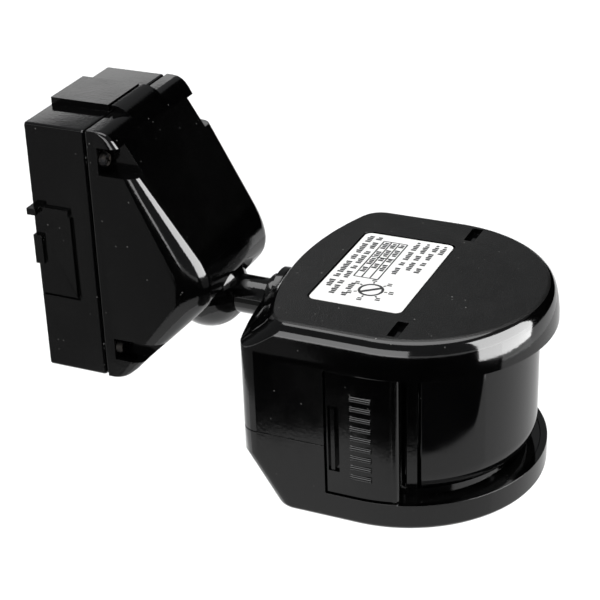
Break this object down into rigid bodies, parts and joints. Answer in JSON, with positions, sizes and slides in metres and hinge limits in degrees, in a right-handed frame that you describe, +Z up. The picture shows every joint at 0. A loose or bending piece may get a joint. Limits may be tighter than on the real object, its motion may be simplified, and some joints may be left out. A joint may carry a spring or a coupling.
{
  "type": "motion sensor",
  "caption": "Wall-mounted outdoor motion sensor: a wedge-shaped wall box carries, on a ball joint, a hooded head with a wide dark lens and a side adjustment door.",
  "frame": {"origin": "middle of the flat back of the wall box, where it meets the wall", "axes": "+X away from the wall, along the head; +Y across; +Z up"},
  "size_m": [0.1638, 0.0888, 0.1115],
  "materials": {
    "base_shell": "moulded black ABS, polished, softly reflective",
    "head_shell": "moulded black ABS, polished sides and a finely textured top",
    "joint_plastic": "black nylon, smooth",
    "inner_plastic": "black moulded plastic, fine texture",
    "lens": "dark smoked polyethylene, glossy, nearly opaque",
    "rubber": "black rubber, matte",
    "label": "white printed label, matte",
    "steel": "zinc plated, satin",
    "black_steel": "black zinc plated, satin",
    "brass": "plain brass, satin",
    "terminal_plastic": "cream thermoplastic",
    "circuit_board": "green solder mask",
    "trimmer_plastic": "blue moulded plastic",
    "knob_plastic": "white moulded plastic",
    "relay_plastic": "blue relay case",
    "capacitor_sleeve": "dark shrink sleeve"
  },
  "bodies": {
    "base": {"base_cover": "base_shell", "base_gasket": "rubber", "cable_grommet": "rubber", "clamp_cup": "inner_plastic", "clamp_screw_1": "steel", "clamp_screw_2": "steel", "cover_screw_1": "black_steel", "cover_screw_2": "black_steel", "cover_screw_3": "black_steel", "cover_screw_4": "black_steel", "terminal_block": "terminal_plastic", "terminal_screw_1": "brass", "terminal_screw_2": "brass", "terminal_screw_3": "brass", "wall_box": "base_shell"},
    "ball": {"pivot_ball": "joint_plastic"},
    "neck": {"ball_neck": "joint_plastic"},
    "head": {"bottom_shell": "head_shell", "capacitor": "capacitor_sleeve", "case_screw_1": "steel", "case_screw_2": "steel", "case_screw_3": "steel", "case_screw_4": "steel", "circuit_board": "circuit_board", "control_board": "circuit_board", "door_pin": "steel", "label_plate": "label", "lens": "lens", "lens_frame": "inner_plastic", "light_trimmer": "trimmer_plastic", "neck_nut": "brass", "photocell": "knob_plastic", "pyro_sensor": "steel", "relay": "relay_plastic", "time_trimmer": "trimmer_plastic", "top_shell": "head_shell"},
    "door": {"adjustment_door": "head_shell"},
    "time_knob": {"time_knob": "knob_plastic"},
    "light_knob": {"light_knob": "knob_plastic"}
  },
  "joints": [
    {"name": "head_swivel", "type": "hinge", "parent": "base", "child": "ball", "pos_m": [0.048, 0, -0.0186], "axis": [0, 0, 1], "range_deg": [-25, 25]},
    {"name": "head_tilt", "type": "hinge", "parent": "ball", "child": "neck", "pos_m": [0.048, 0, -0.0186], "axis": [0, 1, 0], "range_deg": [-12, 25]},
    {"name": "head_roll", "type": "hinge", "parent": "neck", "child": "head", "pos_m": [0.048, 0, -0.0186], "axis": [1, 0, 0], "range_deg": [-20, 20]},
    {"name": "door_hinge", "type": "hinge", "parent": "head", "child": "door", "pos_m": [0.1276, -0.04052, -0.036], "axis": [0, 0, 1], "range_deg": [0, 95]},
    {"name": "time_knob_turn", "type": "hinge", "parent": "head", "child": "time_knob", "pos_m": [0.1144, -0.0343, -0.0265], "axis": [0, -1, 0], "range_deg": [-135, 135]},
    {"name": "light_knob_turn", "type": "hinge", "parent": "head", "child": "light_knob", "pos_m": [0.1144, -0.0343, -0.0455], "axis": [0, -1, 0], "range_deg": [-135, 135]}
  ]
}
